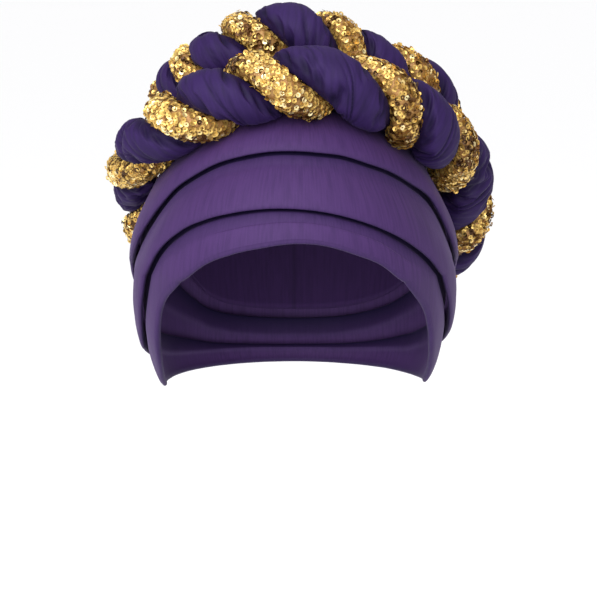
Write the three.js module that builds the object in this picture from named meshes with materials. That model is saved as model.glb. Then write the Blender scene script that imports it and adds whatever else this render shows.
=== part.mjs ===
// A pleated head wrap with two sequinned braids, as it sits on a head. Millimetres, +Z up.
// The front of the wrap faces -Y and its right-hand side, seen from the front, is +X.
// The origin is the top of the head hollow, where the crown of the cap rests on the head.
import * as THREE from "three";

// Head form: the outside of the cap, an egg whose level halves meet at its widest level.
const headHalfWidth = 79; // widest level, ear to ear
const headReachFront = 111; // from the widest point of the form forward to the forehead
const headReachBack = 81; // from the widest point back to the nape
const widestPointY = 18; // the form is widest behind the middle of the head
const crownHeight = 113; // outside of the cap above the widest level
const crownRoundness = 1.6; // power of the curve above the widest level, 2 is an ellipse
const napeRoundness = 2; // power of the curve below the widest level
const capThickness = 2; // knitted cap, two layers with its seam allowances
const crownRise = crownHeight - capThickness; // top of the head hollow above the widest level

// Band: three folded strips, each lapping over the one below like shingles.
const stripThickness = 2.4; // doubled cloth with its folded edge
const clothGap = 0.8; // air between one cloth piece and the next
const stripLap = 0.35; // share of the next strip's height that runs on under it
const capRows = 8; // rows of facets from the crown to the cap's edge
const capLap = 7; // degrees of elevation that the cap runs on under the top strip
const fineStep = 6; // degrees between sections of band and cap, from the front to fineReach
const coarseStep = 14; // the same at the nape, where the lines are nearly level
const fineReach = 138; // degrees from the front, on each side

// Braids: two plump strands twisted round each other, each braid a closed ring.
const strandGap = 0.4; // air between the two strands of a braid

const plainKnit = { color: 0x4a3270, roughness: 0.8, metalness: 0 }; // cap and band
const braidKnit = { color: 0x3c2a5e, roughness: 0.85, metalness: 0 };
const sequinMesh = { color: 0xb8924a, roughness: 0.35, metalness: 0.6 };

// Edge lines of the band in degrees of elevation on the head form, by degrees round from the front.
// hem: lower edge. lowFold and highFold: lower edges of the middle and the top strip. top: upper edge.
const bandColumns = ["azimuth", "hem", "lowFold", "highFold", "top"];
const bandLines = [
  [-180, -34.0, -30.5, -26.5, -12.0],
  [-159, -34.0, -30.2, -25.7, -11.0],
  [-143, -34.0, -29.8, -23.3, -7.5],
  [-133, -34.0, -29.4, -19.9, -0.6],
  [-127, -34.0, -29.0, -17.9, 6.0],
  [-121, -34.0, -28.6, -15.9, 12.6],
  [-110, -34.0, -27.5, -12.1, 20.0],
  [-100, -34.0, -26.0, -8.0, 24.1],
  [-90, -33.7, -23.5, -2.2, 27.3],
  [-80, -32.9, -19.5, 5.0, 30.7],
  [-66, -23.6, -6.1, 17.6, 35.5],
  [-55, -7.8, 9.2, 26.1, 39.3],
  [-44, -0.3, 16.7, 31.1, 42.8],
  [-33, 8.0, 20.5, 34.7, 45.9],
  [-22, 12.0, 22.7, 36.7, 48.1],
  [-11, 14.2, 23.9, 37.9, 49.4],
  [0, 15.4, 24.0, 38.1, 50.0],
  [11, 14.7, 23.1, 37.6, 49.9],
  [22, 11.9, 21.1, 36.6, 49.5],
  [33, 7.6, 18.0, 34.4, 47.8],
  [44, -1.4, 13.5, 31.8, 45.0],
  [55, -9.0, 6.8, 27.9, 41.1],
  [66, -21.4, -3.9, 22.6, 37.1],
  [80, -31.6, -15.0, 8.0, 32.0],
  [90, -32.9, -19.3, 1.2, 28.3],
  [102, -33.6, -23.1, -5.6, 23.0],
  [113, -33.9, -25.7, -11.5, 14.5],
  [119, -34.0, -27.0, -14.3, 6.5],
  [127, -34.0, -27.9, -17.3, -1.0],
  [140, -34.0, -29.0, -21.8, -7.0],
  [159, -34.0, -30.2, -25.4, -11.0],
  [180, -34.0, -30.5, -26.5, -12.0],
];

// Sections of a strip, rows from its lower fold to its top edge, the same all round the head.
// rise: share of the strip's own visible height. layers: cloth layers between it and the head form.
// inner and outer: where its two faces lie over those layers, as shares of the strip's thickness.
const stripColumns = ["rise", "layers", "inner", "outer"];
const lappedStrip = [
  [0.0, 1, 0.5, 0.5],
  [0.05, 1, 0.05, 1.0],
  [0.42, 1, 0.0, 1.2],
  [0.72, 0, 0.0, 1.2],
  [1.0, 0, 0.0, 1.0],
];
const hemStrip = [
  [0.0, 0, 0.5, 0.5],
  [0.06, 0, 0.05, 1.0],
  [0.45, 0, 0.0, 1.15],
  [0.8, 0, 0.0, 1.15],
  [1.0, 0, 0.0, 1.0],
];

// Braid axes as stations on the head form. radius: from the axis to the top of a strand.
// turn: whole turns made by the gold strand on its way round, 0 where it faces straight out.
// lift: from the head form to the underside of the braid.
const braidColumns = ["azimuth", "elevation", "radius", "turn"];
const frontBraid = {
  turnsRound: 11,
  sectionsPerTurn: 10,
  lift: 5.3, // it lies on the top edge of the band
  stations: [
    [0, 50.0, 17.0, 0.27],
    [22, 49.5, 17.0, 0.62],
    [42, 45.5, 17.0, 0.99],
    [62, 38.5, 16.5, 1.63],
    [84, 30.5, 15.5, 2.32],
    [102, 23.0, 16.0, 2.68],
    [113, 14.5, 16.5, 3.05],
    [119, 6.5, 16.5, 3.44],
    [127, -1.0, 16.0, 3.96],
    [140, -7.0, 15.0, 4.60],
    [159, -11.0, 14.5, 5.40],
    [180, -12.0, 14.5, 6.10],
    [-159, -11.0, 14.0, 6.76],
    [-143, -7.5, 13.8, 7.36],
    [-134, -1.5, 13.6, 7.72],
    [-127, 6.0, 13.2, 8.00],
    [-120, 13.5, 12.5, 8.29],
    [-108, 21.0, 12.0, 8.70],
    [-88, 28.0, 13.0, 9.19],
    [-66, 35.5, 15.0, 9.66],
    [-45, 42.5, 16.5, 10.24],
    [-23, 48.0, 17.0, 10.80],
  ],
};
const rearBraid = {
  turnsRound: 12,
  sectionsPerTurn: 8,
  lift: 2, // it lies on the cap
  stations: [
    [0, 67.5, 16.0, -0.46],
    [35, 64.0, 15.0, -0.02],
    [62, 55.5, 15.0, 0.65],
    [88, 45.5, 18.0, 1.46],
    [112, 36.5, 17.5, 2.40],
    [136, 28.0, 15.5, 3.45],
    [158, 21.0, 15.0, 4.55],
    [180, 18.0, 15.0, 5.60],
    [-158, 22.0, 15.0, 6.65],
    [-136, 31.0, 15.0, 7.68],
    [-115, 41.0, 15.0, 8.66],
    [-90, 49.5, 15.0, 9.60],
    [-62, 58.0, 15.5, 10.52],
    [-35, 65.5, 16.0, 11.13],
  ],
};

// Sections of the two strands, half of each: out is the distance from the braid's axis and side
// the distance across, both as shares of the braid's radius. The flats lie on each other, and the
// knit strand is the fuller one.
const strandColumns = ["out", "side"];
const goldSection = [
  [1.0, 0.0],
  [0.92, 0.36],
  [0.68, 0.61],
  [0.36, 0.67],
  [0.0, 0.44],
];
const knitSection = [
  [1.0, 0.0],
  [0.91, 0.42],
  [0.66, 0.71],
  [0.31, 0.81],
  [0.0, 0.56],
];

const turnAngle = 2 * Math.PI;
const radians = THREE.MathUtils.degToRad;
const lerp = THREE.MathUtils.lerp;

// Rows of a table as objects keyed by the names of its columns.
function named(columns, rows) {
  return rows.map((row) =>
    Object.fromEntries(columns.map((column, i) => [column, row[i]])),
  );
}

// Power of a sine or cosine that keeps its sign, for rounded or pointed ovals.
function oval(value, power) {
  return Math.sign(value) * Math.abs(value) ** (2 / power);
}

// A point over the head form, at an azimuth from the front, an elevation and a height over the cap.
function formPoint(azimuth, elevation, height) {
  const a = radians(azimuth);
  const e = radians(elevation);
  const power = e >= 0 ? crownRoundness : napeRoundness;
  const level = oval(Math.cos(e), power);
  const reach = Math.cos(a) >= 0 ? headReachFront : headReachBack;
  return new THREE.Vector3(
    (headHalfWidth + height) * level * Math.sin(a),
    widestPointY - (reach + height) * level * Math.cos(a),
    (crownHeight + height) * oval(Math.sin(e), power) - crownRise,
  );
}

// The edge lines of the band at any azimuth, eased between the rows of the table.
const bandRows = named(bandColumns, bandLines);
function bandAt(azimuth) {
  const last = bandRows.length - 1;
  const i = bandRows.findLastIndex((row) => row.azimuth <= azimuth);
  const before = i > 0 ? bandRows[i - 1] : turned(bandRows[last - 1], -360);
  const [from, to] = [bandRows[i], bandRows[i + 1]];
  const after = i + 2 <= last ? bandRows[i + 2] : turned(bandRows[1], 360);
  const span = to.azimuth - from.azimuth;
  const t = (azimuth - from.azimuth) / span;
  const line = {};
  for (const column of bandColumns.slice(1)) {
    const leaving = slope(before, to, column) * span;
    const arriving = slope(from, after, column) * span;
    line[column] =
      from[column] * (2 * t ** 3 - 3 * t ** 2 + 1) +
      to[column] * (3 * t ** 2 - 2 * t ** 3) +
      leaving * (t ** 3 - 2 * t ** 2 + t) +
      arriving * (t ** 3 - t ** 2);
  }
  return line;
}

function turned(row, degrees) {
  return { ...row, azimuth: row.azimuth + degrees };
}

function slope(from, to, column) {
  return (to[column] - from[column]) / (to.azimuth - from.azimuth);
}

// A closed skin over a ring of closed sections, each section the same number of points.
// Each four-sided patch is split along its shorter diagonal. The patch from the last point of a
// section to its first is a strand's flat, and splits the way that hollows it.
function ringSkin(sections, flatLast = false) {
  const points = sections.flat();
  const count = sections[0].length;
  const index = [];
  sections.forEach((section, i) => {
    const here = i * count;
    const there = ((i + 1) % sections.length) * count;
    for (let j = 0; j < count; j += 1) {
      const next = (j + 1) % count;
      const forward = points[here + j].distanceTo(points[there + next]);
      const back = points[here + next].distanceTo(points[there + j]);
      const flat = flatLast && next === 0;
      const split =
        flat || back < forward
          ? [here + next, there + j]
          : [there + next, here + j];
      index.push(here + j, there + j, split[0]);
      index.push(there + next, here + next, split[1]);
    }
  });
  return skin(points, index);
}

function skin(points, index) {
  const geometry = new THREE.BufferGeometry().setFromPoints(points);
  geometry.setIndex(index);
  geometry.computeVertexNormals();
  return geometry;
}

const azimuths = [];
for (let azimuth = -180; azimuth < 180; azimuth += stepAt(azimuth)) {
  azimuths.push(azimuth);
}

function stepAt(azimuth) {
  return azimuth >= -fineReach && azimuth < fineReach ? fineStep : coarseStep;
}

// One strip of the band. lower and upper name its own fold line and the next one up, and beyond
// the one after that, up to which it laps under the next strip.
function strip(profileRows, lower, upper, beyond) {
  const [fold, ...rows] = named(stripColumns, profileRows);
  const sections = azimuths.map((azimuth) => {
    const line = bandAt(azimuth);
    const lap = beyond ? stripLap * (line[beyond] - line[upper]) : 0;
    const at = (row, face) =>
      formPoint(
        azimuth,
        lerp(line[lower], line[upper], row.rise) + (row.rise === 1 ? lap : 0),
        clothGap + row.layers * (stripThickness + clothGap) + row[face] * stripThickness,
      );
    return [
      at(fold, "outer"),
      ...rows.map((row) => at(row, "outer")),
      ...rows.toReversed().map((row) => at(row, "inner")),
    ];
  });
  return ringSkin(sections);
}

// The cap: a dome shell over the crown that runs on under the top strip.
function cap() {
  const rows = capRows;
  const dome = (height) =>
    Array.from({ length: rows }, (_, i) =>
      azimuths.map((azimuth) => {
        const edge = bandAt(azimuth).top - capLap;
        return formPoint(azimuth, lerp(90, edge, (i + 1) / rows), height);
      }),
    );
  const outside = dome(0);
  const inside = dome(-capThickness);
  const count = azimuths.length;
  const points = [
    formPoint(0, 90, 0),
    ...outside.flat(),
    ...inside.reverse().flat(),
    formPoint(0, 90, -capThickness),
  ];
  const index = [];
  const last = points.length - 1;
  const rings = 2 * rows;
  for (let j = 0; j < count; j += 1) {
    const next = (j + 1) % count;
    index.push(0, 1 + j, 1 + next);
    for (let i = 0; i < rings - 1; i += 1) {
      const here = 1 + i * count;
      const there = here + count;
      index.push(here + j, there + j, there + next);
      index.push(here + j, there + next, here + next);
    }
    const lowest = 1 + (rings - 1) * count;
    index.push(last, lowest + next, lowest + j);
  }
  return skin(points, index);
}

// Sections of a braid at equal shares of a turn, each with its place, its axes, radius and turn.
function braidSections(braid) {
  const stations = named(braidColumns, braid.stations);
  const axis = new THREE.CatmullRomCurve3(
    stations.map((s) => formPoint(s.azimuth, s.elevation, s.radius + braid.lift)),
    true,
    "centripetal",
  );
  const count = braid.turnsRound * braid.sectionsPerTurn;
  const inner = new THREE.Vector3(0, widestPointY, -crownRise);
  return Array.from({ length: count }, (_, i) => {
    const turn = stations[0].turn + i / braid.sectionsPerTurn;
    const next = stations.findIndex((s) => s.turn > turn);
    const from = stations.at(next > 0 ? next - 1 : -1);
    const to = stations[next > 0 ? next : 0];
    const toTurn = next > 0 ? to.turn : to.turn + braid.turnsRound;
    const share = (turn - from.turn) / (toTurn - from.turn);
    const place = (stations.indexOf(from) + share) / stations.length;
    const middle = axis.getPoint(place);
    const along = axis.getTangent(place);
    const out = middle.clone().sub(inner).projectOnPlane(along).normalize();
    return {
      middle,
      out,
      across: along.clone().cross(out),
      radius: lerp(from.radius, to.radius, share),
      turn,
    };
  });
}

// One strand of a braid; phase is its share of a turn ahead of the gold strand.
function strand(braid, halfSection, phase) {
  const half = named(strandColumns, halfSection);
  const mirrored = half.slice(1).map((p) => ({ out: p.out, side: -p.side }));
  const outline = [...half.toReversed(), ...mirrored];
  const sections = braidSections(braid).map((section) => {
    const angle = (section.turn + phase) * turnAngle;
    const outward = section.out
      .clone()
      .multiplyScalar(Math.cos(angle))
      .addScaledVector(section.across, Math.sin(angle));
    const sideways = section.across
      .clone()
      .multiplyScalar(Math.cos(angle))
      .addScaledVector(section.out, -Math.sin(angle));
    return outline.map((p) =>
      section.middle
        .clone()
        .addScaledVector(outward, Math.max(strandGap / 2, p.out * section.radius))
        .addScaledVector(sideways, p.side * section.radius),
    );
  });
  return ringSkin(sections, true);
}

function piece(name, geometry, look) {
  const mesh = new THREE.Mesh(geometry, new THREE.MeshStandardMaterial(look));
  mesh.name = name;
  return mesh;
}

const turban = new THREE.Group();
turban.name = "turban";
turban.add(
  piece("crown_cap", cap(), plainKnit),
  piece("front_pleat_lower", strip(hemStrip, "hem", "lowFold", "highFold"), plainKnit),
  piece("front_pleat_middle", strip(lappedStrip, "lowFold", "highFold", "top"), plainKnit),
  piece("front_pleat_upper", strip(lappedStrip, "highFold", "top"), plainKnit),
  piece("front_braid_gold", strand(frontBraid, goldSection, 0), sequinMesh),
  piece("front_braid_purple", strand(frontBraid, knitSection, 0.5), braidKnit),
  piece("rear_braid_gold", strand(rearBraid, goldSection, 0), sequinMesh),
  piece("rear_braid_purple", strand(rearBraid, knitSection, 0.5), braidKnit),
);

export default turban;
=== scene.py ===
# A pleated turban with two twisted braids of padded knit and sequinned cloth, in the form it has
# when worn. Metres, +Z up, the front faces -Y. The cloth follows the solids that it replaces.
import math
import random

import bmesh
import bpy
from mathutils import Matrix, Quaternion, Vector, noise


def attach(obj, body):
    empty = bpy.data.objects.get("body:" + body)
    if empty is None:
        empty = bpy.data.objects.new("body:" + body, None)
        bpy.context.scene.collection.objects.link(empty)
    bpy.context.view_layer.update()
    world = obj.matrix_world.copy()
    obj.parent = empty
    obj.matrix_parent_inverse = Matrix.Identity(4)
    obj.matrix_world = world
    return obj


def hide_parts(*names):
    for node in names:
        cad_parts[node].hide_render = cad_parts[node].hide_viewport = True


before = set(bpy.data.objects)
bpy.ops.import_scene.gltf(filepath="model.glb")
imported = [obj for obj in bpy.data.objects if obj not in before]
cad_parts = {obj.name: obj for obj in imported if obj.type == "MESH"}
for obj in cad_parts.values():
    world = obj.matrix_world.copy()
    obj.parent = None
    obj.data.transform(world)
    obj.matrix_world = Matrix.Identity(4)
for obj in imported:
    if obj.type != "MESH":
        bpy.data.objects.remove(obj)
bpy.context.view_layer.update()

MM = 0.001
TURN = 2 * math.pi
MERGE = 1e-6  # vertices closer than this become one
TINY = 1e-9  # keeps a length of 0 from being divided by
EVEN = (1, 1, 1)  # spans between rows that are evenly set

# The form that the cloth is shaped over, as in the part's source.
HEAD_HALF_WIDTH = 79 * MM
HEAD_REACH_FRONT = 111 * MM
HEAD_REACH_BACK = 81 * MM
WIDEST_POINT_Y = 18 * MM
CROWN_HEIGHT = 113 * MM
CROWN_ROUNDNESS = 1.6
NAPE_ROUNDNESS = 2
CAP_THICKNESS = 2 * MM
CROWN_RISE = CROWN_HEIGHT - CAP_THICKNESS
CAP_LAP = 7  # degrees that the cap runs on under the top pleat

# Edge lines of the band in degrees of elevation, by degrees round from the front.
BAND_COLUMNS = ("azimuth", "hem", "low_fold", "high_fold", "top")
BAND_LINES = (
    (-180, -34.0, -30.5, -26.5, -12.0),
    (-159, -34.0, -30.2, -25.7, -11.0),
    (-143, -34.0, -29.8, -23.3, -7.5),
    (-133, -34.0, -29.4, -19.9, -0.6),
    (-127, -34.0, -29.0, -17.9, 6.0),
    (-121, -34.0, -28.6, -15.9, 12.6),
    (-110, -34.0, -27.5, -12.1, 20.0),
    (-100, -34.0, -26.0, -8.0, 24.1),
    (-90, -33.7, -23.5, -2.2, 27.3),
    (-80, -32.9, -19.5, 5.0, 30.7),
    (-66, -23.6, -6.1, 17.6, 35.5),
    (-55, -7.8, 9.2, 26.1, 39.3),
    (-44, -0.3, 16.7, 31.1, 42.8),
    (-33, 8.0, 20.5, 34.7, 45.9),
    (-22, 12.0, 22.7, 36.7, 48.1),
    (-11, 14.2, 23.9, 37.9, 49.4),
    (0, 15.4, 24.0, 38.1, 50.0),
    (11, 14.7, 23.1, 37.6, 49.9),
    (22, 11.9, 21.1, 36.6, 49.5),
    (33, 7.6, 18.0, 34.4, 47.8),
    (44, -1.4, 13.5, 31.8, 45.0),
    (55, -9.0, 6.8, 27.9, 41.1),
    (66, -21.4, -3.9, 22.6, 37.1),
    (80, -31.6, -15.0, 8.0, 32.0),
    (90, -32.9, -19.3, 1.2, 28.3),
    (102, -33.6, -23.1, -5.6, 23.0),
    (113, -33.9, -25.7, -11.5, 14.5),
    (119, -34.0, -27.0, -14.3, 6.5),
    (127, -34.0, -27.9, -17.3, -1.0),
    (140, -34.0, -29.0, -21.8, -7.0),
    (159, -34.0, -30.2, -25.4, -11.0),
    (180, -34.0, -30.5, -26.5, -12.0),
)

# A pleat across, from its fold up the outer face, under the next pleat, and back down the inner
# face. rise: share of the pleat's own height, 1 where the next fold hides it and 2 at its end.
# offset: millimetres up from there, fewer where the pleat is low. height: millimetres over the
# form. dark: painted shade, by how deep in a crease the cloth lies, and a painted shadow just
# under the fold above.
PLEAT_COLUMNS = ("rise", "offset", "height", "dark")
LAPPED_PLEAT = (
    (0.00, 0.5, 4.4, 1.00),
    (0.00, -0.2, 5.0, 0.70),
    (0.00, -0.3, 5.7, 0.38),
    (0.00, 0.3, 6.3, 0.20),
    (0.00, 1.5, 6.8, 0.08),
    (0.14, 0.0, 7.1, 0.00),
    (0.30, 0.0, 7.0, 0.00),
    (0.48, 0.0, 6.2, 0.00),
    (0.65, 0.0, 5.0, 0.00),
    (1.00, -7.5, 4.1, 0.12),
    (1.00, -4.6, 3.8, 0.30),
    (1.00, -2.6, 3.5, 0.44),
    (1.00, -1.2, 3.0, 0.60),
    (1.00, 0.3, 1.8, 1.00),
    (1.30, 0.0, 1.4, 1.00),
    (2.00, -0.4, 2.0, 1.00),
    (2.00, 0.0, 1.2, 1.00),
    (2.00, -0.4, 0.5, 1.00),
    (1.30, 0.0, -0.4, 0.60),
    (1.00, 0.0, -0.5, 0.40),
    (1.00, -3.0, 0.7, 0.20),
    (0.65, 0.0, 2.0, 0.00),
    (0.40, 0.0, 3.6, 0.00),
    (0.00, 3.0, 4.1, 0.50),
)
TOP_PLEAT = (
    (0.00, 0.5, 4.4, 1.00),
    (0.00, -0.2, 5.0, 0.70),
    (0.00, -0.3, 5.7, 0.38),
    (0.00, 0.3, 6.3, 0.20),
    (0.00, 1.5, 6.8, 0.08),
    (0.14, 0.0, 7.2, 0.00),
    (0.30, 0.0, 7.2, 0.00),
    (0.48, 0.0, 6.5, 0.00),
    (0.65, 0.0, 5.3, 0.05),
    (0.80, 0.0, 4.3, 0.20),
    (0.90, 0.0, 3.7, 0.45),
    (1.00, -0.5, 3.2, 1.00),
    (1.00, 0.0, 2.0, 1.00),
    (1.00, -0.5, 0.8, 1.00),
    (0.85, 0.0, 0.7, 0.20),
    (0.70, 0.0, 1.2, 0.00),
    (0.40, 0.0, 3.6, 0.00),
    (0.00, 3.0, 4.1, 0.50),
)
HEM_PLEAT = (
    (0.00, 0.5, 1.0, 0.80),
    (0.00, -0.2, 1.6, 0.60),
    (0.00, -0.3, 2.4, 0.50),
    (0.00, 0.4, 3.2, 0.36),
    (0.00, 2.0, 3.7, 0.22),
    (0.14, 0.0, 4.0, 0.12),
    (0.38, 0.0, 4.1, 0.02),
    (0.60, 0.0, 3.9, 0.00),
    (1.00, -7.5, 3.6, 0.12),
    (1.00, -4.6, 3.3, 0.30),
    (1.00, -2.6, 3.0, 0.44),
    (1.00, -1.2, 2.5, 0.60),
    (1.00, 0.3, 1.3, 1.00),
    (1.30, 0.0, 1.0, 1.00),
    (2.00, -0.4, 1.6, 1.00),
    (2.00, 0.0, 0.9, 1.00),
    (2.00, -0.4, 0.2, 1.00),
    (1.30, 0.0, -0.8, 0.60),
    (1.00, 0.0, -0.9, 0.40),
    (1.00, -3.0, 0.2, 0.20),
    (0.60, 0.0, 0.6, 0.00),
    (0.35, 0.0, 0.7, 0.00),
    (0.00, 2.5, 0.6, 0.30),
)
FULL_HEIGHT = 20 * MM  # a pleat lower than this has its offsets shrunk with it
PLEAT_LAP = 0.35  # share of the next pleat's height that runs on under it
AROUND = 540  # faces round the band
FACES_PER_ROW = 3  # faces between two rows of a pleat's table
BAND_CLOTH = (0.56, 0.09)  # a pleat's length, and its width round both layers

# The cap. Its folds deepen down the dome and fade out again before its edge, by shares of the way.
CAP_AROUND = AROUND // 2
CAP_ROWS = 60
CAP_WALL = 1.6 * MM
CAP_CLOTH = (0.5, 0.3)
CAP_FOLDS_START = 0.1
CAP_FOLDS_GROW = 0.5
CAP_FOLDS_FADE = 0.2
CAP_FOLD_DEPTH = 0.5  # millimetres
CAP_FOLD_COUNT = 12  # bumps of the folds to each radian round
CAP_FOLD_DRIFT = 1.5  # bumps that a fold wanders on its way down
SEAM_WIDTH = 1.2 * MM
SEAM_DEPTH = 0.5  # millimetres
SEAM_DARK = 0.35
SEAM_TOP = 0.02  # share of the way down where the seam crosses the pole

# Soft waves of the cloth, as their height and width in millimetres and a shift of the noise.
PLEAT_WAVES = ((0.45, 32, 0), (0.2, 11, 7))
KNIT_WAVES = ((0.3, 14, 0),)
GOLD_WAVES = ((0.5, 9, 0), (0.3, 4, 0))

# Braid axes as stations on the form, millimetres and degrees. radius: from the axis to the top of a
# strand. turn: whole turns made by the gold strand, 0 where it faces straight out.
BRAID_COLUMNS = ("azimuth", "elevation", "radius", "turn")
FRONT_BRAID = {
    "turns_round": 11,
    "lift": 5.3,
    "stations": (
        (0, 50.0, 17.0, 0.27),
        (22, 49.5, 17.0, 0.62),
        (42, 45.5, 17.0, 0.99),
        (62, 38.5, 16.5, 1.63),
        (84, 30.5, 15.5, 2.32),
        (102, 23.0, 16.0, 2.68),
        (113, 14.5, 16.5, 3.05),
        (119, 6.5, 16.5, 3.44),
        (127, -1.0, 16.0, 3.96),
        (140, -7.0, 15.0, 4.60),
        (159, -11.0, 14.5, 5.40),
        (180, -12.0, 14.5, 6.10),
        (-159, -11.0, 14.0, 6.76),
        (-143, -7.5, 13.8, 7.36),
        (-134, -1.5, 13.6, 7.72),
        (-127, 6.0, 13.2, 8.00),
        (-120, 13.5, 12.5, 8.29),
        (-108, 21.0, 12.0, 8.70),
        (-88, 28.0, 13.0, 9.19),
        (-66, 35.5, 15.0, 9.66),
        (-45, 42.5, 16.5, 10.24),
        (-23, 48.0, 17.0, 10.80),
    ),
}
REAR_BRAID = {
    "turns_round": 12,
    "lift": 2,
    "stations": (
        (0, 67.5, 16.0, -0.46),
        (35, 64.0, 15.0, -0.02),
        (62, 55.5, 15.0, 0.65),
        (88, 45.5, 18.0, 1.46),
        (112, 36.5, 17.5, 2.40),
        (136, 28.0, 15.5, 3.45),
        (158, 21.0, 15.0, 4.55),
        (180, 18.0, 15.0, 5.60),
        (-158, 22.0, 15.0, 6.65),
        (-136, 31.0, 15.0, 7.68),
        (-115, 41.0, 15.0, 8.66),
        (-90, 49.5, 15.0, 9.60),
        (-62, 58.0, 15.5, 10.52),
        (-35, 65.5, 16.0, 11.13),
    ),
}
SECTION_PITCH = 0.8 * MM
FINE_STEPS = 40  # points between two stations when the axis is measured
BESIDE = 0.01  # stations to either side that give the axis its direction

# Strand sections as ovals, in shares of the braid's radius. phase: turns round from the gold strand.
# centre: out from the braid's axis. outward and inward: half heights away from the axis and towards
# it. side: half width.
GOLD_OVAL = {"phase": 0, "centre": 0.49, "outward": 0.51, "inward": 0.43, "side": 0.70}
KNIT_OVAL = {"phase": 0.5, "centre": 0.28, "outward": 0.72, "inward": 0.60, "side": 0.82}
PRESSED_GAP = 0.02  # between the two strands, in shares of the braid's radius

# Where a strand shows, and where it lies under the other one and gets painted shade, by the
# cosine of the angle round it.
SHOWS_FROM = -0.3
SHOWS_OVER = 0.8
UNDERSIDE_FROM = 0.4
UNDERSIDE_OVER = 0.6

# The strands' cloth: faces round a strand, metres of cloth round it, and millimetres that it lies
# inside the oval before it bulges.
KNIT_AROUND = 72
KNIT_GIRTH = 0.075
KNIT_INSET = 0.9
GOLD_AROUND = 40
GOLD_GIRTH = 0.055
GOLD_INSET = 0.4

# Creases that fan out over a lobe of the knit strand from each of its pinched ends. pinch and open:
# turns from the lobe's middle to where a crease starts and ends. start and finish: degrees round the
# strand, on either side of its ridge. depth: millimetres. width: turns.
FAN_CREASES = (3, 4, 5)
FAN_PINCH = (0.27, 0.33)
FAN_OPEN = (0.02, 0.26)
FAN_START = (50, 85)
FAN_FINISH = (0, 70)
FAN_DEPTH = (0.5, 1.5)
FAN_WIDTH = (0.009, 0.018)
FAN_REACH = 0.5  # turns from its pinch within which a crease lies
FAN_BEND = 0.7  # under 1, a crease turns away from its pinch before it runs straight
FAN_DEEPEST = 0.2  # share of its length at which a crease is deepest
FAN_FADE = 0.5  # power by which it fades towards its end

# Small gathers of the knit strand, strongest where it dives under the gold one.
GATHERS_A_TURN = 24  # bumps along the strand
GATHERS_ACROSS = 1.1  # bumps from its ridge to its side
GATHER_LEAST = 0.05  # millimetres, at the middle of a lobe
GATHER_MORE = 0.4  # millimetres more, at the dive
CALM = 0.08  # turns to each side of a lobe's middle without the larger gathers
DIVE = 0.2  # turns over which they grow

# Painted shade on the knit strand in its hollows, by what makes them.
CREASE_PAINTED_SHADE = 0.7
FOLD_PAINTED_SHADE = 0.3
GATHER_PAINTED_SHADE = 0.3
UNDERSIDE_PAINTED_SHADE = 0.55
FULL_SHADE_CREASE_DEPTH = 1.1 * MM

# Cloth simulation of the knit strands, on a coarser tube.
COARSE_STEP = 3  # sections of the strand to each one of the tube
COARSE_AROUND = 36
GARMENT_SCALE = 20  # the simulation is tuned for garments, so it runs on a larger copy
SPARE_CLOTH = 0.09  # share by which the cloth is longer and wider than the tube that holds it
SETTLING_FRAMES = 16
MOST_MOVE = 3 * MM
UNEVEN_FILLING = 0.3  # millimetres that the filling pushes the tube out or in before it settles
UNEVEN_A_TURN = 16  # bumps along the strand
UNEVEN_ACROSS = 2  # bumps from its ridge to its side
HELD_FROM = 0.1  # the tube is held where the cosine of the angle round it is under this
HELD_OVER = 0.35  # and wholly held where it is this much lower
FOLD_NEIGHBOURS = (-3, -2, 2, 3)  # tube sections that a fold's depth is measured from

# Blender's cloth settings for a light knit that gives a little, with soft filling behind it.
STRETCH_KNIT = {
    "quality": 5,
    "mass": 0.05,
    "tension_stiffness": 15,
    "compression_stiffness": 15,
    "shear_stiffness": 5,
    "bending_stiffness": 0.1,
    "shrink_min": -SPARE_CLOTH,
    "use_pressure": True,
    "uniform_pressure_force": 2,
}

# Sequins: gold film punched into eight-sided cups. Sewn ones tilt a little, and a few hang loose.
SEQUIN_RADIUS = 1.35 * MM
SEQUIN_HOLE = 0.42 * MM  # radius too
SEQUIN_CUP = 0.25 * MM  # depth
SEQUIN_SIDES = 8
SEQUIN_PITCH = 2.0 * MM
SEQUINS_ACROSS = 26
SEQUIN_SPREAD = 125  # degrees round the strand, to each side, that sequins cover
SEQUIN_JITTER = 0.35  # shares of the pitch
SEQUIN_LIFT = (0.2, 0.7)  # millimetres over the netting
LOOSE_LIFT = 0.8  # millimetres more
LOOSE_SHARE = 0.05  # of all sequins
TILT_SPREAD = 0.6  # of the random tilt, in each direction
SEWN_TILT = 0.38  # share of the random tilt that a sequin takes
LOOSE_TILT = 0.9
SECTIONS_AHEAD = 4  # sections on that give the netting's direction along the strand
ANGLE_BESIDE = 0.1  # radians on that give it across

# Painted reflection: the light that a sequin mirrors, painted into its colour, from 0, dark, to
# 1, white. Most lie between, some show as dark rings, more of them in a patch, and some glint.
REFLECTION_SHAPE = (4, 2.2)  # of a beta distribution
RING_REFLECTION = 0.06
RING_SHARE = 0.07
PATCH_RING_SHARE = 0.4
PATCH_WIDTH = 20 * MM
PATCH_EDGE = 0.35  # height of the noise where a patch is at its fullest
GLINT_REFLECTION = 0.98
GLINT_ABOVE = 0.93  # so that 7 in 100 glint
RIM_PAINTED_SHADE = 0.3  # painted shade: how much darker the outermost sequins of a strand are, where its sides turn away

# The Mix node has sockets for every kind of data. These are the ones for colours.
SHARE, LOW, HIGH = 0, 6, 7
MIXED = 2

# The studio, in metres. The camera stands at the photograph's angle.
FLOOR_Z = -0.42
FLOOR_SIZE = 80
ROOM_LIGHT = 0.45  # strength of the even light from all round
TARGET = Vector((0.0023, 0, -0.1283))
CAMERA_PLACE = Vector((0.0023, -1.2874, 0.0526))
LENS_LENGTH = 151.6  # millimetres, as is the sensor's width
SENSOR_WIDTH = 36


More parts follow.
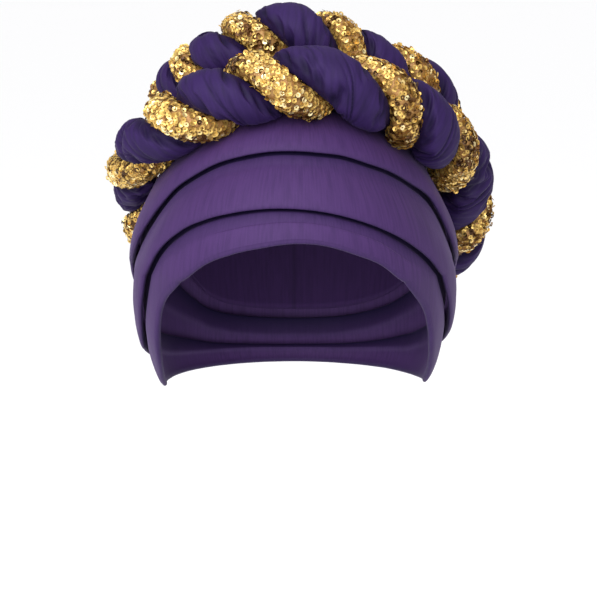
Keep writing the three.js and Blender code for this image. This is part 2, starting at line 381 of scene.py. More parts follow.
def named(columns, rows):
    """The rows of a table by the names of its columns."""
    return [dict(zip(columns, row)) for row in rows]


def lerp(low, high, share):
    return low + (high - low) * share


def smooth(share):
    """A share held between 0 and 1 that starts and ends gently."""
    share = min(1.0, max(0.0, share))
    return share * share * (3 - 2 * share)


def oval(value, power):
    """A sine or cosine drawn out for an oval: power 2 is round, and less is more pointed."""
    return math.copysign(abs(value) ** (2 / power), value)


def form_point(azimuth, elevation, height=0.0):
    """A point over the form, at degrees from the front, degrees up and a height in metres."""
    a, e = math.radians(azimuth), math.radians(elevation)
    power = CROWN_ROUNDNESS if e >= 0 else NAPE_ROUNDNESS
    level = oval(math.cos(e), power)
    reach = HEAD_REACH_FRONT if math.cos(a) >= 0 else HEAD_REACH_BACK
    return Vector(
        (
            (HEAD_HALF_WIDTH + height) * level * math.sin(a),
            WIDEST_POINT_Y - (reach + height) * level * math.cos(a),
            (CROWN_HEIGHT + height) * oval(math.sin(e), power) - CROWN_RISE,
        )
    )


def eased(before, start, end, after, t, spans):
    """Cubic between start and end whose slopes fit the rows on either side."""
    leaving = (end - before) / (spans[0] + spans[1]) * spans[1]
    arriving = (after - start) / (spans[1] + spans[2]) * spans[1]
    return (
        start * (2 * t**3 - 3 * t**2 + 1)
        + end * (3 * t**2 - 2 * t**3)
        + leaving * (t**3 - 2 * t**2 + t)
        + arriving * (t**3 - t**2)
    )


BAND_ROWS = named(BAND_COLUMNS, BAND_LINES)


def band_at(azimuth):
    """The edge lines of the band at any azimuth, eased between the rows of the table."""
    azimuth = (azimuth + 180) % 360 - 180
    last = len(BAND_ROWS) - 1
    i = max(k for k in range(last) if BAND_ROWS[k]["azimuth"] <= azimuth)
    rows = [BAND_ROWS[(i - 1) % last], BAND_ROWS[i], BAND_ROWS[i + 1], BAND_ROWS[(i + 2) % last]]
    places = [row["azimuth"] for row in rows]
    places[0] -= 360 if places[0] > places[1] else 0
    places[3] += 360 if places[3] < places[2] else 0
    spans = [b - a for a, b in zip(places, places[1:])]
    t = (azimuth - places[1]) / spans[1]
    return {c: eased(*(row[c] for row in rows), t, spans) for c in BAND_COLUMNS[1:]}


def ripple(point, width, seed):
    """A soft noise from -1 to 1 whose bumps are about width metres wide."""
    return noise.noise(point / width + Vector((seed, 0, 0)))


def waves(point, table, seed):
    """The soft waves of a table at a point, in millimetres."""
    return sum(height * ripple(point, width * MM, seed + shift) for height, width, shift in table)


def new_piece(name, bm, material):
    """A mesh object with smooth faces, made from a bmesh that it uses up."""
    for face in bm.faces:
        face.smooth = True
    mesh = bpy.data.meshes.new(name)
    bm.to_mesh(mesh)
    bm.free()
    mesh.materials.append(material)
    piece = bpy.data.objects.new(name, mesh)
    bpy.context.scene.collection.objects.link(piece)
    return piece


def cloth_piece(name, bm, material, node):
    """A piece of cloth that stands for one solid."""
    piece = new_piece(name, bm, material)
    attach(piece, "root")
    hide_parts(node)
    return piece


def laid_grid(columns, rows, place, size):
    """A grid laid on a form: place(u, v) gives each vertex its place and its darkness, painted shade
    in creases and hollows, and on the cap a darker seam.
    size is the cloth's length and width in metres, which its UV map keeps."""
    bm = bmesh.new()
    bmesh.ops.create_grid(bm, x_segments=columns, y_segments=rows, size=0.5)
    uv = bm.loops.layers.uv.new("cloth")
    dark = bm.verts.layers.float.new("dark")
    for face in bm.faces:
        for loop in face.loops:
            at = loop.vert.co
            loop[uv].uv = ((at.x + 0.5) * size[0], (at.y + 0.5) * size[1])
    for vert in bm.verts:
        vert.co, vert[dark] = place(vert.co.x + 0.5, vert.co.y + 0.5)
    bmesh.ops.remove_doubles(bm, verts=bm.verts, dist=MERGE)
    bmesh.ops.recalc_face_normals(bm, faces=bm.faces)
    return bm


# Materials


def linear(colour):
    """An sRGB hex colour as linear RGBA."""
    channels = [int(colour[i : i + 2], 16) / 255 for i in (1, 3, 5)]
    return [c / 12.92 if c <= 0.04045 else ((c + 0.055) / 1.055) ** 2.4 for c in channels] + [1]


def marks(along, across):
    """Mapping scale for a pattern whose marks are along by across millimetres on the cloth."""
    return (1 / (along * MM), 1 / (across * MM), 1)


def add(tree, kind, inputs=None, **settings):
    """A node with its settings; inputs are values or the sockets that they link from."""
    node = tree.nodes.new(kind)
    for name, value in settings.items():
        setattr(node, name, value)
    for key, value in (inputs or {}).items():
        if isinstance(value, bpy.types.NodeSocket):
            tree.links.new(value, node.inputs[key])
        else:
            node.inputs[key].default_value = value
    return node


def new_material(name):
    """A material with an empty node tree."""
    material = bpy.data.materials.new(name)
    material.use_nodes = True
    material.node_tree.nodes.clear()
    return material, material.node_tree


def knit(name, lit, shade, deep, roughness, sheen, gloss):
    """Smooth polyester stretch knit: fine ribs across the pleat, a soft matt face with a little
    sheen at grazing angles, and painted shade towards the deep colour where it lies deep in a crease."""
    material, tree = new_material(name)
    uv = add(tree, "ShaderNodeUVMap", uv_map="cloth").outputs[0]
    # Ribs of the knit run across the cloth, 1.5 mm apart, coarser than the real 0.5 mm to show.
    ribs = add(tree, "ShaderNodeMapping", {"Vector": uv, "Scale": marks(1.54, 16.7)})
    streaks = add(
        tree,
        "ShaderNodeTexNoise",
        {"Vector": ribs.outputs[0], "Scale": 1, "Detail": 2, "Roughness": 0.6},
    )
    clear = add(
        tree, "ShaderNodeMapRange", {"Value": streaks.outputs[0], "From Min": 0.36, "From Max": 0.6}
    )
    ribbed = add(
        tree,
        "ShaderNodeMix",
        {SHARE: clear.outputs[0], LOW: linear(shade), HIGH: linear(lit)},
        data_type="RGBA",
    )
    # Dye and tension vary over 25 to 33 mm.
    broad = add(tree, "ShaderNodeMapping", {"Vector": uv, "Scale": marks(33.3, 25)})
    clouds = add(
        tree,
        "ShaderNodeTexNoise",
        {"Vector": broad.outputs[0], "Scale": 1, "Detail": 3, "Roughness": 0.5},
    )
    clouded = add(
        tree,
        "ShaderNodeMix",
        {SHARE: clouds.outputs[0], LOW: linear(lit), HIGH: ribbed.outputs[MIXED]},
        data_type="RGBA",
    )
    # Painted shade: the dark attribute darkens the cloth towards the deep colour in creases, folds and
    # hollows; on the cap it also darkens the seam.
    depth = add(tree, "ShaderNodeAttribute", attribute_name="dark")
    colour = add(
        tree,
        "ShaderNodeMix",
        {SHARE: depth.outputs["Fac"], LOW: clouded.outputs[MIXED], HIGH: linear(deep)},
        data_type="RGBA",
    )
    # Loops of the yarn, 0.5 mm wide and 0.7 mm high.
    loops = add(tree, "ShaderNodeMapping", {"Vector": uv, "Scale": marks(0.5, 0.714)})
    yarn = add(
        tree, "ShaderNodeTexNoise", {"Vector": loops.outputs[0], "Scale": 1, "Detail": 1}
    )
    grain = add(
        tree, "ShaderNodeMath", {0: streaks.outputs[0], 1: yarn.outputs[0]}, operation="ADD"
    )
    bump = add(
        tree,
        "ShaderNodeBump",
        {"Height": grain.outputs[0], "Strength": 0.35, "Distance": 0.15 * MM},
    )
    shader = add(
        tree,
        "ShaderNodeBsdfPrincipled",
        {
            "Base Color": colour.outputs[MIXED],
            "Roughness": roughness,
            "Sheen Weight": sheen,
            "Sheen Roughness": 0.35,
            "Sheen Tint": linear("#C9B4EE"),
            "Specular IOR Level": gloss,
            "Normal": bump.outputs[0],
        },
    )
    add(tree, "ShaderNodeOutputMaterial", {"Surface": shader.outputs[0]})
    return material


def gold_net():
    """Metallic gold netting that carries the sequins: a fine shiny net over a pale gold ground, with
    painted shine.
    """
    material, tree = new_material("gold_netting")
    uv = add(tree, "ShaderNodeUVMap", uv_map="cloth").outputs[0]
    # Meshes of the net, 0.9 mm wide.
    threads = add(tree, "ShaderNodeMapping", {"Vector": uv, "Scale": marks(0.909, 0.909)})
    net = add(
        tree,
        "ShaderNodeTexVoronoi",
        {"Vector": threads.outputs[0], "Scale": 1},
        feature="DISTANCE_TO_EDGE",
    )
    # Painted shine: the ground's colour varies over 11 mm as the net lies in folds.
    broad = add(tree, "ShaderNodeMapping", {"Vector": uv, "Scale": marks(11.1, 11.1)})
    clouds = add(
        tree,
        "ShaderNodeTexNoise",
        {"Vector": broad.outputs[0], "Scale": 1, "Detail": 4, "Roughness": 0.7},
    )
    ground = add(
        tree,
        "ShaderNodeMix",
        {SHARE: clouds.outputs[0], LOW: linear("#B48844"), HIGH: linear("#E6CE8C")},
        data_type="RGBA",
    )
    colour = add(
        tree,
        "ShaderNodeMix",
        {SHARE: net.outputs[0], LOW: linear("#8E6230"), HIGH: ground.outputs[MIXED]},
        data_type="RGBA",
    )
    bump = add(
        tree, "ShaderNodeBump", {"Height": net.outputs[0], "Strength": 0.6, "Distance": 0.3 * MM}
    )
    shader = add(
        tree,
        "ShaderNodeBsdfPrincipled",
        {
            "Base Color": colour.outputs[MIXED],
            "Metallic": 0.35,
            "Roughness": 0.45,
            "Normal": bump.outputs[0],
        },
    )
    add(tree, "ShaderNodeOutputMaterial", {"Surface": shader.outputs[0]})
    return material


def sequin_film():
    """Gold polyester film with a metal coat, punched into cups, with painted reflection: each mirrors
    its own bit of the room in its colour, so neighbours run from pale yellow to dark bronze."""
    material, tree = new_material("gold_sequin_film")
    painted_reflection = add(tree, "ShaderNodeAttribute", attribute_name="painted_reflection").outputs["Fac"]
    ramp = add(tree, "ShaderNodeValToRGB", {"Fac": painted_reflection})
    stops = (
        (0.00, "#3E240C"),
        (0.15, "#7A4E1E"),
        (0.30, "#C29A4E"),
        (0.80, "#E0BC68"),
        (1.00, "#FFF2BE"),
    )
    while len(ramp.color_ramp.elements) < len(stops):
        ramp.color_ramp.elements.new(0.5)
    for element, (place, colour) in zip(ramp.color_ramp.elements, stops):
        element.position = place
        element.color = linear(colour)
    shader = add(
        tree,
        "ShaderNodeBsdfPrincipled",
        {"Base Color": ramp.outputs[0], "Metallic": 0.6, "Roughness": 0.3},
    )
    add(tree, "ShaderNodeOutputMaterial", {"Surface": shader.outputs[0]})
    return material


def paper():
    """Uncoated paper for the floor, almost white and quite matt."""
    material, tree = new_material("pale_paper")
    shader = add(
        tree, "ShaderNodeBsdfPrincipled", {"Base Color": linear("#FBFBFC"), "Roughness": 0.9}
    )
    add(tree, "ShaderNodeOutputMaterial", {"Surface": shader.outputs[0]})
    return material


# The third colour of each knit is its painted shade, for creases and hollows.
band_knit = knit(
    "polyester_stretch_knit_band", "#3E2656", "#2F1C46", "#150B30", roughness=0.7, sheen=0.08, gloss=0.2
)
# The cap is the band's knit in darker colours, as painted shade.
shaded_cap_knit = knit(
    "polyester_stretch_knit_cap", "#321D48", "#28173B", "#0D0719", roughness=0.8, sheen=0.06, gloss=0.15
)
braid_knit = knit(
    "polyester_stretch_knit_braid", "#2B1A48", "#1F1236", "#0C0620", roughness=0.62, sheen=0.04, gloss=0.12
)
netting = gold_net()
film = sequin_film()


# Band and cap


def pleat(name, node, table, lower, upper, beyond, seed):
    """One pleat of the band, a closed fold of cloth laid round the form between two edge lines.
    beyond names the next pleat's upper line, under which this one runs on."""
    rows = named(PLEAT_COLUMNS, table)
    count = FACES_PER_ROW * len(rows)
    lines = []
    for i in range(AROUND):
        azimuth = -180 + 360 * i / AROUND
        line = band_at(azimuth)
        tall = (form_point(azimuth, line[upper]) - form_point(azimuth, line[lower])).length
        scale = (line[upper] - line[lower]) / tall
        lines.append(line | {"azimuth": azimuth, "step": scale * min(1, tall / FULL_HEIGHT) * MM})

    def place(u, v):
        line = lines[round(u * AROUND) % AROUND]
        at, t = divmod(round(v * count) % count, FACES_PER_ROW)
        four = [rows[(at + j) % len(rows)] for j in (-1, 0, 1, 2)]
        rise, offset, height, dark = (
            eased(*(row[c] for row in four), t / FACES_PER_ROW, EVEN) for c in PLEAT_COLUMNS
        )
        tall = line[upper] - line[lower]
        lap = PLEAT_LAP * (line[beyond] - line[upper]) if beyond else tall
        elevation = line[lower] + tall * min(rise, 1) + lap * max(0, rise - 1)
        elevation += offset * line["step"]
        height += waves(form_point(line["azimuth"], elevation), PLEAT_WAVES, seed)
        # dark is painted shade in the creases and under the fold above.
        return form_point(line["azimuth"], elevation, height * MM), min(1, max(0, dark))

    bm = laid_grid(AROUND, count, place, BAND_CLOTH)
    return cloth_piece(name, bm, band_knit, node)


def cap():
    """The knitted dome under the braids, two layers with a seam from front to back."""

    def place(u, v):
        azimuth = -180 + 360 * round(u * CAP_AROUND) / CAP_AROUND
        outside = v < 0.5
        down = 2 * v if outside else 2 * (1 - v)
        edge = band_at(azimuth)["top"] - CAP_LAP
        elevation = lerp(90, edge, down)
        height = 0.0 if outside else -CAP_WALL
        point = form_point(azimuth, elevation, height)
        grown = smooth((down - CAP_FOLDS_START) / CAP_FOLDS_GROW)
        grown *= smooth((1 - down) / CAP_FOLDS_FADE)
        a = math.radians(azimuth)
        around = Vector((math.cos(a), math.sin(a), 0))
        folds = noise.noise(CAP_FOLD_COUNT * around + Vector((0, 0, CAP_FOLD_DRIFT * down)))
        seam = math.exp(-((point.x / SEAM_WIDTH) ** 2)) if down > SEAM_TOP else 1
        height += (CAP_FOLD_DEPTH * grown * folds - SEAM_DEPTH * seam) * MM
        return form_point(azimuth, elevation, height), SEAM_DARK * seam

    bm = laid_grid(CAP_AROUND, 2 * CAP_ROWS, place, CAP_CLOTH)
    return cloth_piece("crown_cap_cloth", bm, shaded_cap_knit, "crown_cap")


# Braids


def curve_point(points, place):
    """A point of the closed centripetal curve through the stations, place in stations."""
    count = len(points)
    i = math.floor(place)
    t = place - i
    four = [points[(i + j) % count] for j in (-1, 0, 1, 2)]
    spans = [math.sqrt((b - a).length) for a, b in zip(four, four[1:])]
    a, b, c, d = four
    leaving = (b - a) / spans[0] - (c - a) / (spans[0] + spans[1]) + (c - b) / spans[1]
    arriving = (c - b) / spans[1] - (d - b) / (spans[1] + spans[2]) + (d - c) / spans[2]
    leaving, arriving = leaving * spans[1], arriving * spans[1]
    return (
        b
        + leaving * t
        + (3 * (c - b) - 2 * leaving - arriving) * t**2
        + (2 * (b - c) + leaving + arriving) * t**3
    )


def braid_sections(braid):
    """Even sections of a braid, each with its axes, radius and turn, and the braid's length."""
    stations = named(BRAID_COLUMNS, braid["stations"])
    count = len(stations)
    points = [
        form_point(s["azimuth"], s["elevation"], (s["radius"] + braid["lift"]) * MM)
        for s in stations
    ]

    def station(i, column):
        value = stations[i % count][column]
        return value + braid["turns_round"] * (i // count) if column == "turn" else value

    places = [i / FINE_STEPS for i in range(count * FINE_STEPS + 1)]
    along = [curve_point(points, p) for p in places]
    lengths = [0.0]
    for a, b in zip(along, along[1:]):
        lengths.append(lengths[-1] + (b - a).length)
    station_lengths = [lengths[i * FINE_STEPS] for i in range(count + 1)]
    gaps = [b - a for a, b in zip(station_lengths, station_lengths[1:])]
    steps = round(lengths[-1] / SECTION_PITCH)
    inner = Vector((0, WIDEST_POINT_Y, -CROWN_RISE))
    sections, k = [], 0
    for i in range(steps):
        reach = lengths[-1] * i / steps
        while lengths[k + 1] <= reach:
            k += 1
        place = places[k] + (reach - lengths[k]) / (lengths[k + 1] - lengths[k]) / FINE_STEPS
        middle = curve_point(points, place)
        ahead = curve_point(points, place + BESIDE) - curve_point(points, place - BESIDE)
        ahead.normalize()
        out = middle - inner
        out = (out - ahead * out.dot(ahead)).normalized()
        j = math.floor(place)
        t = (reach - station_lengths[j]) / gaps[j]
        spans = [gaps[j - 1], gaps[j], gaps[(j + 1) % count]]
        near = range(j - 1, j + 3)
        sections.append(
            {
                "middle": middle,
                "out": out,
                "across": ahead.cross(out),
                "radius": MM * eased(*(station(n, "radius") for n in near), t, spans),
                "turn": eased(*(station(n, "turn") for n in near), t, spans),
            }
        )
    return sections, lengths[-1]


def oval_reach(shape, angle):
    """Distance from an oval's centre to its edge, angle 0 pointing away from the braid's axis."""
    tall = shape["outward"] if math.cos(angle) >= 0 else shape["inward"]
    return 1 / math.hypot(math.cos(angle) / tall, math.sin(angle) / shape["side"])


def knit_reach(angle):
    """The same for the knit strand, which is pressed round the gold one where they meet."""
    free = oval_reach(KNIT_OVAL, angle)
    # The gold oval seen from the knit strand's centre: it lies on the far side of the axis.
    distance = KNIT_OVAL["centre"] + GOLD_OVAL["centre"]
    tall, side = GOLD_OVAL["inward"] + PRESSED_GAP, GOLD_OVAL["side"] + PRESSED_GAP
    cos, sin = -math.cos(angle), math.sin(angle)
    a = (cos / tall) ** 2 + (sin / side) ** 2
    b = -2 * cos * distance / tall**2
    c = (distance / tall) ** 2 - 1
    inside = b * b - 4 * a * c
    if cos <= 0 or inside <= 0:
        return free
    return min(free, (-b - math.sqrt(inside)) / (2 * a))


def on_strand(section, shape, angle, reach):
    """A point of a strand's section, angle round the strand's own centre and reach in radii."""
    turned = (section["turn"] + shape["phase"]) * TURN
    outward = section["out"] * math.cos(turned) + section["across"] * math.sin(turned)
    sideways = section["across"] * math.cos(turned) - section["out"] * math.sin(turned)
    out = shape["centre"] + reach * math.cos(angle)
    return section["middle"] + section["radius"] * (
        outward * out + sideways * (reach * math.sin(angle))
    )


def strand_centre(section, shape):
    """The middle of a strand's section."""
    return on_strand(section, shape, 0, 0)


def strand_angle(v, around):
    """The angle round a strand of a grid's row, from its pressed side."""
    return -math.pi + TURN * (round(v * around) % around) / around


def showing(angle):
    """1 on the side of a strand that shows, 0 where it is pressed on the other strand."""
    return smooth((math.cos(angle) - SHOWS_FROM) / SHOWS_OVER)


def wrinkle_fans(turns, rng):
    """The creases of the knit strand, gathered where it dives under the gold one: each runs from
    a pinch at one end of a lobe and fans out over it."""
    fans = []
    for lobe in range(turns + 1):
        for end in (-1, 1):
            for _ in range(rng.choice(FAN_CREASES)):
                fans.append(
                    {
                        "pinch": lobe + end * rng.uniform(*FAN_PINCH),
                        "open": lobe + end * rng.uniform(*FAN_OPEN),
                        "start": end * rng.uniform(*FAN_START),
                        "finish": -end * rng.uniform(*FAN_FINISH),
                        "depth": rng.uniform(*FAN_DEPTH) * MM,
                        "width": rng.uniform(*FAN_WIDTH),
                    }
                )
    return fans


def crease_depth(fans, turn, angle):
    """Depth of the creases at a place on the knit strand, in metres; angle in degrees."""
    deep = 0.0
    for fan in fans:
        if abs(turn - fan["pinch"]) > FAN_REACH:
            continue
        t = (angle - fan["start"]) / (fan["finish"] - fan["start"])
        if not 0 < t < 1:
            continue
        line = lerp(fan["pinch"], fan["open"], t**FAN_BEND)
        off = (turn - line) / fan["width"]
        strength = (1 - t) ** FAN_FADE * min(1, t / FAN_DEEPEST)
        deep = max(deep, fan["depth"] * math.exp(-off * off) * strength)
    return deep


def simulated(piece, held):
    """Run cloth simulation on a stuffed tube of stretch knit and return where its vertices go.
    held gives how firmly each vertex is held."""
    group = piece.vertex_groups.new(name="held")
    for index, weight in enumerate(held):
        group.add([index], weight, "REPLACE")
    modifier = piece.modifiers.new("cloth", "CLOTH")
    for name, value in STRETCH_KNIT.items():
        setattr(modifier.settings, name, value)
    modifier.settings.vertex_group_mass = "held"
    modifier.settings.effector_weights.gravity = 0
    modifier.collision_settings.use_collision = False
    modifier.collision_settings.use_self_collision = False
    modifier.point_cache.frame_end = SETTLING_FRAMES
    for step in range(1, SETTLING_FRAMES + 1):
        bpy.context.scene.frame_set(step)
    settled = piece.evaluated_get(bpy.context.evaluated_depsgraph_get())
    places = [vert.co.copy() for vert in settled.data.vertices]
    bpy.context.scene.frame_set(1)
    return places


def gathered(sections, seed):
    """How the stuffed knit strand bulges and gathers away from a plain oval tube: a move and a
    depth in its folds at each point of a coarse grid. The tube has spare cloth and is held where
    it is pressed on the gold strand, so the spare cloth gathers across it."""
    count = len(sections) // COARSE_STEP
    picked = [sections[round(i * len(sections) / count)] for i in range(count)]

    def place(u, v):
        section = picked[round(u * count) % count]
        angle = strand_angle(v, COARSE_AROUND)
        point = on_strand(section, KNIT_OVAL, angle, knit_reach(angle))
        out = (point - strand_centre(section, KNIT_OVAL)).normalized()
        where = (section["turn"] * UNEVEN_A_TURN, UNEVEN_ACROSS * math.sin(angle), seed)
        point += out * UNEVEN_FILLING * MM * noise.noise(Vector(where))
        return point * GARMENT_SCALE, 0.0

    piece = new_piece("coarse_tube", laid_grid(count, COARSE_AROUND, place, (1, 1)), braid_knit)
    mesh = piece.data
    cells = {}
    for loop, at in zip(mesh.loops, mesh.uv_layers["cloth"].uv):
        i, j = round(at.vector.x * count), round(at.vector.y * COARSE_AROUND)
        cells[loop.vertex_index] = (i % count, j % COARSE_AROUND)
    held = []
    for index in range(len(cells)):
        facing = math.cos(strand_angle(cells[index][1] / COARSE_AROUND, COARSE_AROUND))
        held.append(min(1, max(0, (HELD_FROM - facing) / HELD_OVER)))
    before = [vert.co.copy() for vert in mesh.vertices]
    moves, bulges = {}, {}
    for index, after in enumerate(simulated(piece, held)):
        i, j = cells[index]
        move = (after - before[index]) / GARMENT_SCALE
        move *= min(1, MOST_MOVE / max(move.length, TINY))
        centre = strand_centre(picked[i], KNIT_OVAL)
        moves[i, j] = move
        bulges[i, j] = move.dot((before[index] / GARMENT_SCALE - centre).normalized())
    bpy.data.objects.remove(piece)
    bpy.data.meshes.remove(mesh)
    depths = {}
    for (i, j), bulge in bulges.items():
        near = [bulges[(i + k) % count, j] for k in FOLD_NEIGHBOURS]
        depths[i, j] = max(0, sum(near) / len(near) - bulge)
    return moves, depths, count


def between(field, count, x, y):
    """A value of a coarse grid that runs round both ways, eased between its points."""
    i, j = math.floor(x), math.floor(y)
    rows = (
        eased(*(field[n % count, m % COARSE_AROUND] for m in range(j - 1, j + 3)), y - j, EVEN)
        for n in range(i - 1, i + 3)
    )
    return eased(*rows, x - i, EVEN)


def knit_strand(name, node, sections, length, turns, seed):
    """The padded strand of plain knit: simulated gathers with fine creases and waves on them."""
    fans = wrinkle_fans(turns, random.Random(seed))
    moves, depths, coarse = gathered(sections, seed)
    count = len(sections)
    first = sections[0]["turn"]

    def place(u, v):
        section = sections[round(u * count) % count]
        angle = strand_angle(v, KNIT_AROUND)
        point = on_strand(section, KNIT_OVAL, angle, knit_reach(angle))
        out = (point - strand_centre(section, KNIT_OVAL)).normalized()
        # A whole turn is the middle of a lobe, and half a turn on it lies under the gold strand.
        turn = section["turn"] + KNIT_OVAL["phase"]
        dive = smooth((0.5 - abs(turn % 1 - 0.5) - CALM) / DIVE)
        deep = max(
            crease_depth(fans, wrapped, math.degrees(angle))
            for wrapped in (turn % turns, turn % turns + turns)
        )
        travelled = (turn - first) % turns
        where = (travelled * GATHERS_A_TURN, GATHERS_ACROSS * math.sin(angle), seed)
        gathers = noise.noise(Vector(where))
        soft = waves(point, KNIT_WAVES, seed) + (GATHER_LEAST + GATHER_MORE * dive) * gathers
        push = ((soft - KNIT_INSET) * MM - deep) * showing(angle)
        coarse_at = (coarse, u * coarse, v * COARSE_AROUND)
        fold = between(depths, *coarse_at)
        # Painted shade in the strand's creases, simulated folds and gathers, and on its side against the
        # gold strand.
        dark = CREASE_PAINTED_SHADE * min(1, deep / FULL_SHADE_CREASE_DEPTH)
        dark += FOLD_PAINTED_SHADE * min(1, max(0, fold) / MM)
        dark += GATHER_PAINTED_SHADE * dive * max(0, -gathers)
        dark += UNDERSIDE_PAINTED_SHADE * smooth((UNDERSIDE_FROM - math.cos(angle)) / UNDERSIDE_OVER)
        return point + out * push + between(moves, *coarse_at), min(1, dark)

    bm = laid_grid(count, KNIT_AROUND, place, (length, KNIT_GIRTH))
    piece = cloth_piece(name, bm, braid_knit, node)


def gold_strand(name, node, sections, length, seed):
    """The padded strand of netting that the sequins are sewn on."""
    count = len(sections)

    def place(u, v):
        section = sections[round(u * count) % count]
        angle = strand_angle(v, GOLD_AROUND)
        point = on_strand(section, GOLD_OVAL, angle, oval_reach(GOLD_OVAL, angle))
        out = (point - strand_centre(section, GOLD_OVAL)).normalized()
        push = (waves(point, GOLD_WAVES, seed) * showing(angle) - GOLD_INSET) * MM
        return point + out * push, 0.0

    bm = laid_grid(count, GOLD_AROUND, place, (length, GOLD_GIRTH))
    piece = cloth_piece(name, bm, netting, node)


def one_sequin():
    """A cup sequin, flat side out: its corners and faces."""
    bm = bmesh.new()
    bmesh.ops.create_circle(bm, segments=SEQUIN_SIDES, radius=SEQUIN_RADIUS)
    hole = bmesh.ops.create_circle(bm, segments=SEQUIN_SIDES, radius=SEQUIN_HOLE)
    bmesh.ops.translate(bm, verts=hole["verts"], vec=(0, 0, -SEQUIN_CUP))
    bmesh.ops.bridge_loops(bm, edges=bm.edges[:])
    bmesh.ops.recalc_face_normals(bm, faces=bm.faces)
    bm.verts.ensure_lookup_table()
    corners = [v.co.copy() for v in bm.verts]
    faces = [[v.index for v in f.verts] for f in bm.faces]
    if sum(f.normal.z for f in bm.faces) < 0:
        faces = [f[::-1] for f in faces]
    bm.free()
    return corners, faces


def sequin_seat(sections, length, angle, reach):
    """A place on a gold strand, the way out from the strand's middle, and the way it faces."""
    count = len(sections)
    i = round(reach / length * count)
    section, ahead = sections[i % count], sections[(i + SECTIONS_AHEAD) % count]
    edge = oval_reach(GOLD_OVAL, angle)
    turned = angle + ANGLE_BESIDE
    point = on_strand(section, GOLD_OVAL, angle, edge)
    beside = on_strand(section, GOLD_OVAL, turned, oval_reach(GOLD_OVAL, turned))
    along = on_strand(ahead, GOLD_OVAL, angle, edge)
    out = (point - strand_centre(section, GOLD_OVAL)).normalized()
    normal = (along - point).cross(beside - point).normalized()
    return point, out, normal if normal.dot(out) >= 0 else -normal


def painted_sequin_reflection(point, angle, seed, rng):
    """Painted reflection: how much light a sequin mirrors, painted into its colour. Patches that turn
    away from the light show their sequins as dark rings, some here and there glint, and the
    strand's outermost sequins get painted shade."""
    turned_away = smooth(ripple(point, PATCH_WIDTH, seed) / PATCH_EDGE)
    chance = rng.random()
    painted_reflection = rng.betavariate(*REFLECTION_SHAPE)
    if chance < RING_SHARE + PATCH_RING_SHARE * turned_away:
        painted_reflection = RING_REFLECTION
    elif chance > GLINT_ABOVE:
        painted_reflection = GLINT_REFLECTION
    return max(0, painted_reflection - RIM_PAINTED_SHADE * (abs(angle) / math.radians(SEQUIN_SPREAD)) ** 3)


def sequins(name, sections, length, seed):
    """Sequins sewn all over the visible side of a gold strand, tilted at random."""
    rng = random.Random(seed)
    corners, faces = one_sequin()
    vertices, polygons, painted_reflections = [], [], []
    for step in range(round(length / SEQUIN_PITCH)):
        for lane in range(SEQUINS_ACROSS):
            across = lane + 0.5 * (step % 2) + rng.uniform(-SEQUIN_JITTER, SEQUIN_JITTER)
            angle = math.radians(lerp(-SEQUIN_SPREAD, SEQUIN_SPREAD, across / SEQUINS_ACROSS))
            reach = (step + rng.uniform(-SEQUIN_JITTER, SEQUIN_JITTER)) * SEQUIN_PITCH
            point, out, normal = sequin_seat(sections, length, angle, reach)
            loose = rng.random() < LOOSE_SHARE
            tilt = LOOSE_TILT if loose else SEWN_TILT
            normal += tilt * Vector([rng.gauss(0, TILT_SPREAD) for _ in range(3)])
            lift = rng.uniform(*SEQUIN_LIFT) + (LOOSE_LIFT if loose else 0)
            turned = normal.normalized().to_track_quat("Z", "Y")
            turned = turned @ Quaternion((0, 0, 1), rng.uniform(0, TURN))
            start = len(vertices)
            vertices += [point + turned @ corner + out * lift * MM for corner in corners]
            polygons += [[start + v for v in face] for face in faces]
            painted_reflections += [painted_sequin_reflection(point, angle, seed, rng)] * len(corners)
    mesh = bpy.data.meshes.new(name)
    mesh.from_pydata(vertices, [], polygons)
    # Each sequin's painted reflection goes to the film's colour ramp.
    mesh.attributes.new("painted_reflection", "FLOAT", "POINT").data.foreach_set("value", painted_reflections)
    mesh.materials.append(film)
    piece = bpy.data.objects.new(name, mesh)
    bpy.context.scene.collection.objects.link(piece)
    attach(piece, "root")


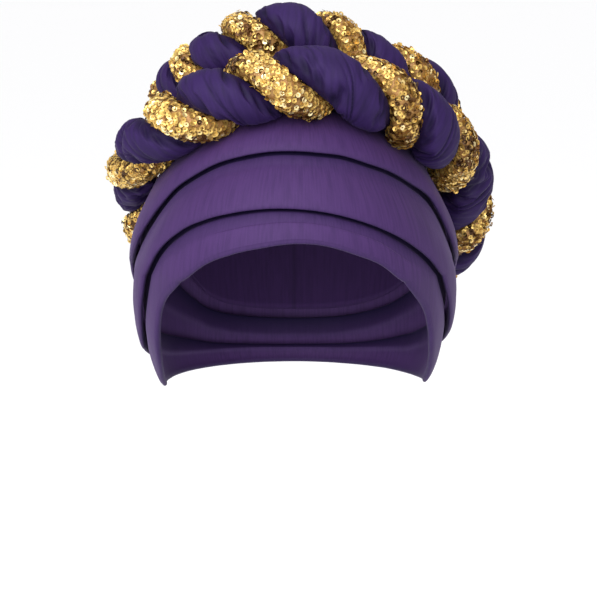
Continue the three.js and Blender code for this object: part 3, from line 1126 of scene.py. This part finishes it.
lower_pleat = pleat(
    "lower_pleat_cloth", "front_pleat_lower", HEM_PLEAT, "hem", "low_fold", "high_fold", seed=3
)
middle_pleat = pleat(
    "middle_pleat_cloth", "front_pleat_middle", LAPPED_PLEAT, "low_fold", "high_fold", "top", seed=11
)
upper_pleat = pleat(
    "upper_pleat_cloth", "front_pleat_upper", TOP_PLEAT, "high_fold", "top", None, seed=19
)
crown = cap()
for label, braid, seed, sequin_seed in (("front", FRONT_BRAID, 5, 7), ("rear", REAR_BRAID, 23, 25)):
    sections, length = braid_sections(braid)
    turns = braid["turns_round"]
    knit_strand(f"{label}_braid_knit", f"{label}_braid_purple", sections, length, turns, seed)
    gold_strand(f"{label}_braid_netting", f"{label}_braid_gold", sections, length, seed)
    sequins(f"{label}_braid_sequins", sections, length, sequin_seed)


# Studio


def studio():
    """A wide floor of pale paper."""
    bm = bmesh.new()
    bmesh.ops.create_grid(bm, x_segments=1, y_segments=1, size=FLOOR_SIZE / 2)
    bmesh.ops.translate(bm, verts=bm.verts, vec=(0, 0, FLOOR_Z))
    new_piece("studio_floor", bm, paper())


def soft_light(name, place, size, power):
    """A softbox aimed at the target."""
    data = bpy.data.lights.new(name, "AREA")
    data.shape = "RECTANGLE"
    data.size, data.size_y = size
    data.energy = power
    light = bpy.data.objects.new(name, data)
    light.location = place
    light.rotation_euler = (TARGET - Vector(place)).to_track_quat("-Z", "Y").to_euler()
    bpy.context.scene.collection.objects.link(light)


def wide_light(name, place, spread, strength):
    """Even light from far off, as wide as a window wall."""
    data = bpy.data.lights.new(name, "SUN")
    data.angle = math.radians(spread)
    data.energy = strength
    light = bpy.data.objects.new(name, data)
    light.location = place
    light.rotation_euler = Vector(place).to_track_quat("Z", "Y").to_euler()
    bpy.context.scene.collection.objects.link(light)


studio()
soft_light("left_softbox", place=(-1.5, -1.3, 0.8), size=(1.0, 1.0), power=14)
soft_light("top_softbox", place=(0.3, 0.2, 1.5), size=(1.6, 1.2), power=8)
wide_light("front_sky", place=(-0.2, -1.0, 0.58), spread=60, strength=3.8)

world = bpy.data.worlds.new("studio_air")
bpy.context.scene.world = world
world.use_nodes = True
world.node_tree.nodes["Background"].inputs["Color"].default_value = (1, 1, 1, 1)
world.node_tree.nodes["Background"].inputs["Strength"].default_value = ROOM_LIGHT
bpy.context.scene.view_settings.view_transform = "Standard"

lens = bpy.data.cameras.new("camera")
lens.lens = LENS_LENGTH
lens.sensor_width = SENSOR_WIDTH
camera = bpy.data.objects.new("camera", lens)
camera.location = CAMERA_PLACE
camera.rotation_euler = (TARGET - CAMERA_PLACE).to_track_quat("-Z", "Y").to_euler()
bpy.context.scene.collection.objects.link(camera)
bpy.context.scene.camera = camera
